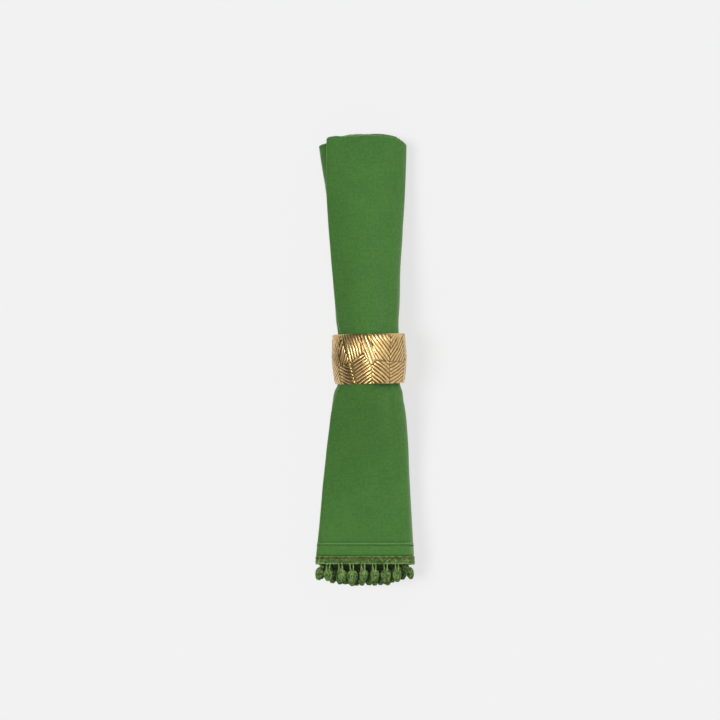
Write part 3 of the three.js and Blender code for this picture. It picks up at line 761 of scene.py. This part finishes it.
def hem_stitches(finish):
    """A row of stitches along the hem on each face, sunk a little in the cloth."""
    bundle = Bundle()
    for side in (1, -1):
        points, normals = edge_line(STITCH_FROM_EDGE, side * HEM_OUTSIDE)
        line, outward, _ = spaced(points, normals * side, STITCH_PITCH)
        outward = unit(outward)
        ahead = unit(np.gradient(line, axis=0))
        for centre, way, out in zip(line[1:-1], ahead[1:-1], outward[1:-1]):
            path = centre + np.outer(STITCH_SHARES * STITCH_LENGTH, way) + np.outer(STITCH_HEIGHTS, out)
            up = np.broadcast_to(out, path.shape)
            bundle.add(*tube(path, up, STITCH_FATNESS * STITCH_RADIUS, 6))
    return bundle.piece("hem_stitches", [finish])


# Braid

# Each cord's distance under the braid's top, its radius and finish, and its wave's swing, pitch and start.
BRAID_CORDS = [
    {"down": 0.35, "radius": 0.34, "finish": 1, "swing": 0.0, "pitch": 1.0, "phase": 0.0},
    {"down": 1.0, "radius": 0.44, "finish": 2, "swing": 0.0, "pitch": 1.0, "phase": 0.0},
    {"down": 1.62, "radius": 0.38, "finish": 2, "swing": 0.0, "pitch": 1.0, "phase": 0.0},
    {"down": 2.25, "radius": 0.3, "finish": 3, "swing": 0.1, "pitch": 2.4, "phase": 0.0},
    {"down": 3.35, "radius": 0.36, "finish": 1, "swing": 0.72, "pitch": 2.5, "phase": 0.0},
    {"down": 3.35, "radius": 0.36, "finish": 1, "swing": 0.72, "pitch": 2.5, "phase": math.pi},
    {"down": 4.4, "radius": 0.3, "finish": 1, "swing": 0.14, "pitch": 2.5, "phase": 0.0},
]
CORD_STEP = 0.5
CORD_TWIST = 2.0
CORD_SIDES = 8
CORD_PLIES = 2
CORD_GROOVE = 0.42  # how deep the groove between its plies is, as a share of the radius
TAPE_THICK = 0.3
TAPE_MARGIN = 0.5
# The inner tape hangs out as a near-black strip, a dark sheet that stands for the shade behind the strings.
INNER_TAPE_HANG = 3.4  # how far the tape of the inner length hangs out under its cords
TAPE_SIDE_DRAW = 3.0  # how much less it hangs out at the two sides
TAPE_SIDES = (17, 22)  # from the middle, where that begins and where it is full
SIDE_PUFF = 0.6  # how far the cords stand out more where the folds turn


def tape(ply, middle):
    """Points and faces of the thin tape that the cords are sewn on."""
    top = -PIECE_GAP - TAPE_MARGIN
    end = -PIECE_GAP - BRAID_WIDTH + (TAPE_MARGIN if ply == "outer" else -INNER_TAPE_HANG)
    half = TAPE_THICK / 2
    corners = [(top, half), (top, -half), (end, -half), (end, half)]
    lines = [edge_line(down, middle + aside)[0] for down, aside in corners]
    if ply == "inner":
        for line in lines[2:]:
            line[:, 1] += TAPE_SIDE_DRAW * smooth_share(np.abs(line[:, 0] - POMPOM_START), *TAPE_SIDES)
    points = np.stack(lines, axis=1).reshape(-1, 3)
    last = len(STOPS) - 1
    faces = []
    for i in range(last):
        for k in range(4):
            n = (k + 1) % 4
            faces.append((i * 4 + k, i * 4 + n, i * 4 + 4 + n, i * 4 + 4 + k))
    faces.append((3, 2, 1, 0))
    faces.append(tuple(last * 4 + k for k in range(4)))
    return points, faces


def braid(name, ply, finishes):
    """One length of braid: a thin tape with twisted cords along it."""
    side = 1 if ply == "outer" else -1
    middle = side * (PIECE_GAP + BRAID_THICK) / 2
    bundle = Bundle()
    bundle.add(*tape(ply, middle), 0)
    for cord in BRAID_CORDS:
        line, normals = edge_line(-PIECE_GAP - cord["down"], middle)
        path, outward, place = spaced(line, normals, CORD_STEP)
        turn = 2 * math.pi * place / cord["pitch"] + cord["phase"]
        path[:, 1] += cord["swing"] * np.sin(turn)
        outward = unit(outward)
        puff = side * SIDE_PUFF * np.abs(outward[:, 0]) ** 2 if ply == "outer" else 0
        path += outward * (cord["swing"] * 0.2 * np.cos(turn) + puff)[:, None]
        shape = tube(path, outward, cord["radius"], CORD_SIDES, CORD_PLIES, CORD_GROOVE, CORD_TWIST)
        bundle.add(*shape, cord["finish"])
    return bundle.piece(name, finishes)


# Pompoms

def side_reach(level, section):
    """How far the folds reach to the left and the right at a level."""
    reaches = {}
    for turn in TURNS:
        if turn["depth"] == 0 and turn["low"] <= level <= turn["high"] and turn["side"] not in reaches:
            bow, centre = turn_shape(turn, section, DOUBLED_HEM_THICK)
            half = (turn["high"] - turn["low"]) / 2
            share = (level - (turn["high"] + turn["low"]) / 2) / half
            reaches[turn["side"]] = float(centre + turn["side"] * bow * math.sqrt(max(0, 1 - share * share)))
    return reaches[-1], reaches[1] - FULLER_RIGHT


def nearest_on_line(line, x, z):
    """The nearest point of a line of points to a place, and how far it is."""
    starts, ends = line[:-1], line[1:]
    way = ends - starts
    target = np.array([x, 0, z])
    flat = way * [1, 0, 1]
    share = ((target - starts * [1, 0, 1]) * flat).sum(1) / (flat ** 2).sum(1)
    found = starts + way * np.clip(share, 0, 1)[:, None]
    away = np.hypot(found[:, 0] - x, found[:, 2] - z)
    best = int(np.argmin(away))
    return found[best], unit(way)[best], away[best]


def pompom_places(ply):
    """Root of each pompom, the braid's way there, the pompom's neck, and whether it hangs at the front."""
    side = 1 if ply == "outer" else -1
    line, _ = edge_line(-PIECE_GAP - BRAID_WIDTH, side * (PIECE_GAP + BRAID_THICK) / 2)
    section = sections(np.array(TRIM_END))
    neck_y = TRIM_END - PIECE_GAP - BRAID_WIDTH - STRING_LENGTHS[ply]
    places = []
    for level in range(TOP_LEVEL + 1):
        left, right = side_reach(level, section)
        is_front = ply == "outer" and level == TOP_LEVEL
        is_aside = not is_front and (level % 2 == 0) == (ply == "outer")
        row = TOP_LEVEL + 1 if is_front else level
        first = POMPOM_START + (POMPOM_PITCH / 2 if is_aside else 0)
        start = math.ceil((left + SIDE_SETBACKS[ply] - first) / POMPOM_PITCH)
        stop = math.floor((right - SIDE_SETBACKS[ply] - first) / POMPOM_PITCH)
        height = float(level_height(level, section, DOUBLED_HEM_THICK, 0))
        for k in range(start, stop + 1):
            x = first + k * POMPOM_PITCH
            root, way, away = nearest_on_line(line, x, height)
            if away < LONGEST_LEAN:
                neck = np.array([x, neck_y, LOWEST_POMPOM + row * POMPOM_RISE])
                places.append((root, way, neck, is_front))
    return places


YARN_RADIUS = 0.36
YARN_SUNK = 0.8  # the share of its radius by which the yarn lies inside the pompom's half sizes
YARN_WINDS = 11
YARN_TURNS = 6
YARN_POINTS = YARN_WINDS * 16
YARN_SIDES = 4
WIND_REACH = 1.2  # how near the winding comes to the poles, in radians from the belt
BUD_TAPER = 0.16
CORE_SHARE = 0.86
STRING_RADIUS = 0.3
STRING_SPREAD = 0.85
SIZE_SPREAD = 0.06
LEAN_SPREAD = 0.14
SLIP_SPREAD = np.array([0.5, 0.35, 0.15])
FRONT_SHAPE = (1.13, 0.94, 1.06)
FRONT_SLIPS = [-0.5, 1.2, 0.5, 0.7, 0.3, 0.0, 0.1]  # of the front pompoms along the braid, from the left

# The two sides. Each pair of places counts from the middle: where a change begins, and where it is full.
SIDE_LEAN = 0.32  # of the pompoms, in radians
SIDE_LEAN_PLACES = (19, 27)
SIDE_STRINGS = 0.9  # how much thicker the strings behind the front are
SIDE_STRINGS_PLACES = (15, 21)
SIDE_LIFT = 3.4  # how much nearer the braid the pompoms behind the front hang
SIDE_LIFT_AT = 24
OUTERMOST = (-21, 24)  # left and right of these places the outermost pompoms hang
OUTERMOST_SLIPS = (-1.6, 0.3)
OUTERMOST_LIFT = -0.1


def ellipsoid_core():
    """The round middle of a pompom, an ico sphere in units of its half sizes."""
    bpy.ops.mesh.primitive_ico_sphere_add(subdivisions=2, radius=1)
    core = bpy.context.object
    points = np.array([corner.co for corner in core.data.vertices])
    faces = [tuple(face.vertices) for face in core.data.polygons]
    bpy.data.objects.remove(core)
    return points, faces


def bud(sines, cosines):
    """Shares of the half width and the half length on the outline of a bud that narrows to its tip."""
    return cosines * (1 + BUD_TAPER * sines), sines * (1 - 0.06 * sines)


def yarn_winding(half_sizes):
    """Yarn wound slantwise round a bud-shaped core, in millimetres about its middle."""
    t = np.linspace(0, 2 * math.pi, YARN_POINTS, endpoint=False)
    tilt = WIND_REACH * np.sin(YARN_WINDS * t)
    turn = YARN_TURNS * t
    wide, high = bud(np.sin(tilt), np.cos(tilt))
    unit_path = np.stack([wide * np.cos(turn), high, wide * np.sin(turn)], -1)
    lift = 1 + 0.05 * np.cos(YARN_WINDS * t * 0.5 + turn)
    path = unit_path * half_sizes * lift[:, None]
    outward = unit(unit_path / half_sizes)
    return tube(path, outward, YARN_RADIUS, YARN_SIDES, closed=True)


# The core's near-black finish is painted shade in the crevices between the yarn's winds.
def packed_core(half_sizes):
    """The bud-shaped core that the yarn is wound on."""
    points, faces = ellipsoid_core()
    wide, high = bud(points[:, 1], 1)
    points = np.stack([points[:, 0] * wide, high, points[:, 2] * wide], -1)
    return points * half_sizes * CORE_SHARE, faces


def turned(points, angles):
    """Points turned about x, then y, then z."""
    for axis, angle in enumerate(angles):
        a, b = [(1, 2), (2, 0), (0, 1)][axis]
        cos, sin = math.cos(angle), math.sin(angle)
        moved = points.copy()
        moved[:, a] = points[:, a] * cos - points[:, b] * sin
        moved[:, b] = points[:, a] * sin + points[:, b] * cos
        points = moved
    return points


def two_strings(root, way, neck, radius):
    """The strings between the braid and a pompom's neck, which bow a little apart."""
    for aside in (-STRING_SPREAD, STRING_SPREAD):
        shares = np.linspace(0, 1, 5)[:, None]
        start = root + way * aside + [0, 0.35, 0]
        end = neck + way * aside * 0.5 - [0, 0.8, 0]
        path = start + (end - start) * shares
        path = path + way * aside * 0.25 * np.sin(math.pi * shares)
        up = np.broadcast_to(np.cross(way, [0, 1, 0]), path.shape)
        yield tube(path, up, radius, 5)


def pompoms(name, ply, finishes):
    """All pompoms of one length of trim, each on its two strings and clear of the table."""
    half_sizes = np.array([POMPOM_HALF_WIDTH, POMPOM_LENGTH / 2, POMPOM_HALF_THICK])
    half_sizes = half_sizes - YARN_RADIUS * YARN_SUNK
    core_points, core_faces = packed_core(half_sizes)
    wound_points, wound_faces = yarn_winding(half_sizes)
    bundle = Bundle()
    front_slips = iter(FRONT_SLIPS)
    for root, way, neck, is_front in pompom_places(ply):
        size = np.ones(3) * (1 + rng.uniform(-SIZE_SPREAD, SIZE_SPREAD))
        spin = rng.uniform(0, 2 * math.pi)
        lean = rng.uniform(-LEAN_SPREAD, LEAN_SPREAD, 2)
        slip = rng.uniform(-SLIP_SPREAD, SLIP_SPREAD)
        from_middle = neck[0] - POMPOM_START
        is_outermost = not OUTERMOST[0] < from_middle < OUTERMOST[1]
        if is_front:
            slip[0] = next(front_slips)
            size *= FRONT_SHAPE
        elif is_outermost:
            slip[0] += OUTERMOST_SLIPS[0 if from_middle < 0 else 1]
            slip[1] += OUTERMOST_LIFT
        else:
            slip[1] += SIDE_LIFT * (from_middle / SIDE_LIFT_AT) ** 2
        lean[1] += SIDE_LEAN * math.copysign(smooth_share(abs(from_middle), *SIDE_LEAN_PLACES), from_middle)
        neck = neck + slip
        # Pompoms that are neither in the front row nor outermost take the yarn's darker copy, painted shade.
        yarn = 1 if is_front or is_outermost else 3
        parts = []
        for points, faces, index in ((core_points, core_faces, 0), (wound_points, wound_faces, yarn)):
            spun = turned(points, (0, spin, 0)) * size - [0, half_sizes[1], 0]
            parts.append((turned(spun, (lean[0], 0, lean[1])) + neck, faces, index))
        lowest = min(points[:, 2].min() for points, _, _ in parts)
        raised = np.array([0, 0, max(0, ON_TABLE - lowest)])
        for points, faces, index in parts:
            bundle.add(points + raised, faces, index)
        thicker = 1 if is_front else 1 + SIDE_STRINGS * smooth_share(abs(from_middle), *SIDE_STRINGS_PLACES)
        for points, faces in two_strings(root, way, neck + raised, STRING_RADIUS * thicker):
            bundle.add(points, faces, 2)
    return bundle.piece(name, finishes)


# The ring

RING_LENGTH = 27.5
RING_MIDDLE_RADIUS = 20.3
RING_BULGE = 1.17
RING_WIDEST = 2
RIDGE_HEIGHT = 0.55
CREST_BEVEL = 0.6
CREST_SEGMENTS = 3
CREST_LIFT = 0.2  # makes good what the bevel takes off
CREST_SLIP = (0.22, -0.16)  # how far the crests lie off their ridges' middle, round the ring and along it
CREST_FROM = 0.3  # the share of a ridge's height from which it is rounded over
RING_TURN = 1.2  # how far the ring sits askew on the cloth, in degrees
RING_ASIDE = 0.15
RIM_TONE = 0.5
BORE_TONE = 0.7
MERGE_REACH = 0.02


def merged_copy(node, name):
    """A copy of a CAD node with its loose triangles joined."""
    piece = bpy.data.objects.new(name, node.data.copy())
    bpy.context.scene.collection.objects.link(piece)
    bpy.context.view_layer.objects.active = piece
    piece.select_set(True)
    bpy.ops.object.mode_set(mode="EDIT")
    bpy.ops.mesh.select_mode(type="VERT")
    bpy.ops.mesh.select_all(action="SELECT")
    bpy.ops.mesh.remove_doubles(threshold=MERGE_REACH * MM)
    bpy.ops.mesh.select_all(action="DESELECT")
    bpy.ops.object.mode_set(mode="OBJECT")
    return piece


def ridge_lift(place):
    """How far a place about the ring's middle lies outside its plain face, in millimetres."""
    from_widest = (place.y / MM - RING_WIDEST) / (RING_LENGTH / 2)
    return math.hypot(place.x, place.z) / MM - (RING_MIDDLE_RADIUS - RING_BULGE * from_widest ** 2)


# In the brass finish, a low tone gives the grooves' patina and painted shade.
def crest_tone(lift, along):
    """0 in the grooves and 1 on the crests, with one tone in the bore and one on the rims."""
    if lift < -0.1:
        return BORE_TONE
    if abs(along) > RING_LENGTH / 2 * MM * 0.999:
        return RIM_TONE
    return min(1.0, max(0.0, lift / RIDGE_HEIGHT))


def slipped_crest(place):
    """A place on a crest, moved round the ring, along it and outwards."""
    turn = CREST_SLIP[0] / RING_MIDDLE_RADIUS
    grow = 1 + CREST_LIFT / RING_MIDDLE_RADIUS
    x = (place.x * math.cos(turn) + place.z * math.sin(turn)) * grow
    z = (place.z * math.cos(turn) - place.x * math.sin(turn)) * grow
    return Vector((x, place.y + CREST_SLIP[1] * MM, z))


def cast_ring(node, centre, finish):
    """The ring with its crests rounded over, on a copy of its solid."""
    ring = merged_copy(node, "ring_cast")
    mesh = ring.data
    tones = []
    for corner in mesh.vertices:
        spot = corner.co - centre
        lift = ridge_lift(spot)
        tones.append(crest_tone(lift, spot.y))
        corner.select = lift > RIDGE_HEIGHT * CREST_FROM
        if corner.select:
            corner.co = centre + slipped_crest(spot)
    crest = mesh.attributes.new("crest", "FLOAT", "POINT")
    crest.data.foreach_set("value", tones)
    for edge in mesh.edges:
        edge.select = all(mesh.vertices[i].select for i in edge.vertices)
    bpy.ops.object.mode_set(mode="EDIT")
    bpy.ops.mesh.select_mode(type="EDGE")
    bpy.ops.mesh.bevel(offset=CREST_BEVEL * MM, segments=CREST_SEGMENTS, profile=0.4, clamp_overlap=True)
    bpy.ops.object.mode_set(mode="OBJECT")
    bpy.ops.object.shade_smooth_by_angle(angle=math.radians(38))
    mesh.materials.clear()
    mesh.materials.append(finish)
    askew = Matrix.Rotation(math.radians(RING_TURN), 4, "Z")
    there = Matrix.Translation(centre + Vector((RING_ASIDE * MM, 0, 0)))
    mesh.transform(there @ askew @ Matrix.Translation(-centre))
    for corner in mesh.vertices:
        corner.co.z = max(corner.co.z, ON_TABLE * MM)
    ring.select_set(False)
    return ring


# Stage, light and camera

FLOOR_GLOW = 0.71  # the table is lit from within, as a light table is
FLOOR_SIZE = 6
FLOOR_DOWN = 0.00005
CAMERA_HEIGHT = 1.2
FIELD_WIDTH = 0.4064
CAMERA_ASIDE = (-0.004955, -0.000665)


def add_floor():
    """The table, a hair under the object."""
    bpy.ops.mesh.primitive_plane_add(size=FLOOR_SIZE, location=(0, 0, -FLOOR_DOWN))
    floor = bpy.context.object
    floor.name = "table"
    floor.data.materials.append(floor_finish())
    floor.select_set(False)


def add_sun(name, strength, spread, azimuth, elevation, lit):
    """A far light. With lit set to 'gloss' it shows only in reflections, with 'matt' it never does."""
    light = bpy.data.lights.new(name, "SUN")
    light.energy = strength
    light.angle = math.radians(spread)
    lamp = bpy.data.objects.new(name, light)
    turn, rise = math.radians(azimuth), math.radians(elevation)
    toward = Vector((math.cos(turn) * math.cos(rise), math.sin(turn) * math.cos(rise), math.sin(rise)))
    lamp.rotation_euler = toward.to_track_quat("Z", "Y").to_euler()
    lamp.visible_diffuse = lit != "gloss"
    lamp.visible_glossy = lit != "matt"
    bpy.context.scene.collection.objects.link(lamp)
    return lamp


def add_light():
    """Soft studio light, mostly from the left, and wide pale panels for the brass to reflect."""
    world = bpy.data.worlds.new("studio")
    world.use_nodes = True
    world.node_tree.nodes["Background"].inputs["Color"].default_value = (0.33, 0.335, 0.34, 1)
    world.cycles_visibility.glossy = False
    bpy.context.scene.world = world
    add_sun("key", 2.6, 24, 178, 60, "matt")
    fill = add_sun("fill", 2.8, 60, 32, 28, "matt")
    add_sun("gloss_window", 1.5, 22, 90, 86, "gloss")
    add_sun("gloss_left", 0.5, 40, 212, 64, "gloss")
    add_sun("gloss_dome", 0.85, 70, 0, 75, "gloss")
    add_sun("gloss_right", 0.9, 80, 0, 20, "gloss")
    add_sun("gloss_round", 0.29, 180, 90, 90, "gloss")
    bpy.context.scene.view_settings.view_transform = "Standard"
    return fill


def light_only(lamp, pieces):
    """Keeps a lamp's light off everything but these pieces."""
    lit = bpy.data.collections.new("lit_by_" + lamp.name)
    for piece in pieces:
        lit.objects.link(piece)
    lamp.light_linking.receiver_collection = lit


def add_camera():
    """Straight above, as in the photo, and a little to the left of the ring."""
    lens = bpy.data.cameras.new("camera")
    lens.sensor_width = 36
    lens.lens = 36 * CAMERA_HEIGHT / FIELD_WIDTH
    camera = bpy.data.objects.new("camera", lens)
    camera.location = (RING_X * MM + CAMERA_ASIDE[0], RING_Y * MM + CAMERA_ASIDE[1], CAMERA_HEIGHT)
    bpy.context.scene.collection.objects.link(camera)
    bpy.context.scene.camera = camera


def place(piece, slot, node=None):
    """Fixes a piece to the one body and hides the CAD node that it stands in for; slot is not used."""
    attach(piece, "root")
    if node:
        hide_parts(node)


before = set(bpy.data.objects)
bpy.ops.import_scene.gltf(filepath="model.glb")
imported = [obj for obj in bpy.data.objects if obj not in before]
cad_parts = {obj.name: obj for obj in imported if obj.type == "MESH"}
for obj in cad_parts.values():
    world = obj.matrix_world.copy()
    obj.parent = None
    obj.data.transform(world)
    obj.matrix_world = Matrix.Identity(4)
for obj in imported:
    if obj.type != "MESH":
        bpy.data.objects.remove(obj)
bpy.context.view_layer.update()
bpy.ops.object.select_all(action="DESELECT")
ring_low, ring_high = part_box("ring")
ring_centre = (ring_low + ring_high) / 2
RING_X, RING_Y = ring_centre.x / MM, ring_centre.y / MM

add_camera()
add_floor()
fill = add_light()

# Near-black tape: painted shade for the cavities behind the strings, where it hangs out.
tape_painted_shade = yarn_finish("braid_tape", colour(12, 22, 6), colour(24, 38, 14))
cord_light = yarn_finish("braid_cord_light", colour(58, 90, 36), colour(112, 142, 78))
cord_brown = yarn_finish("braid_cord_brown", colour(42, 66, 22), colour(84, 100, 46))
cord_tan = yarn_finish("braid_cord_tan", colour(80, 98, 46), colour(120, 130, 74))
# Near-black core: painted shade in the crevices between the yarn's winds.
core_painted_shade = yarn_finish("pompom_core", colour(22, 36, 14), colour(40, 58, 26))
yarn_light = yarn_finish("pompom_yarn", colour(56, 82, 34), colour(106, 134, 72))
# A darker copy of the pompom yarn: painted shade for the pompoms behind the front row.
yarn_painted_shade = yarn_finish("pompom_yarn_low", colour(44, 68, 28), colour(82, 110, 54))
string_light = yarn_finish("pompom_string", colour(80, 110, 50), colour(122, 150, 88))
thread = yarn_finish("stitch_thread", colour(8, 20, 6), colour(16, 34, 12))

napkin = napkin_sheet(cloth_finish())
stitches = hem_stitches(thread)
braid_outer = braid("braid_outer", "outer", [tape_painted_shade, cord_light, cord_brown, cord_tan])
braid_inner = braid("braid_inner", "inner", [tape_painted_shade, cord_light, cord_brown, cord_tan])
pompoms_outer = pompoms("pompoms_outer", "outer", [core_painted_shade, yarn_light, string_light, yarn_painted_shade])
pompoms_inner = pompoms("pompoms_inner", "inner", [core_painted_shade, yarn_light, string_light, yarn_painted_shade])
ring = cast_ring(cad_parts["ring"], ring_centre, brass_finish())

light_only(fill, [napkin, stitches, braid_outer, braid_inner, pompoms_outer, pompoms_inner, ring])
place(napkin, "cloth", "napkin")
place(stitches, "cloth")
place(braid_outer, "trim", "trim_outer")
place(braid_inner, "trim", "trim_inner")
place(pompoms_outer, "trim", "trim_outer")
place(pompoms_inner, "trim", "trim_inner")
place(ring, "brass", "ring")
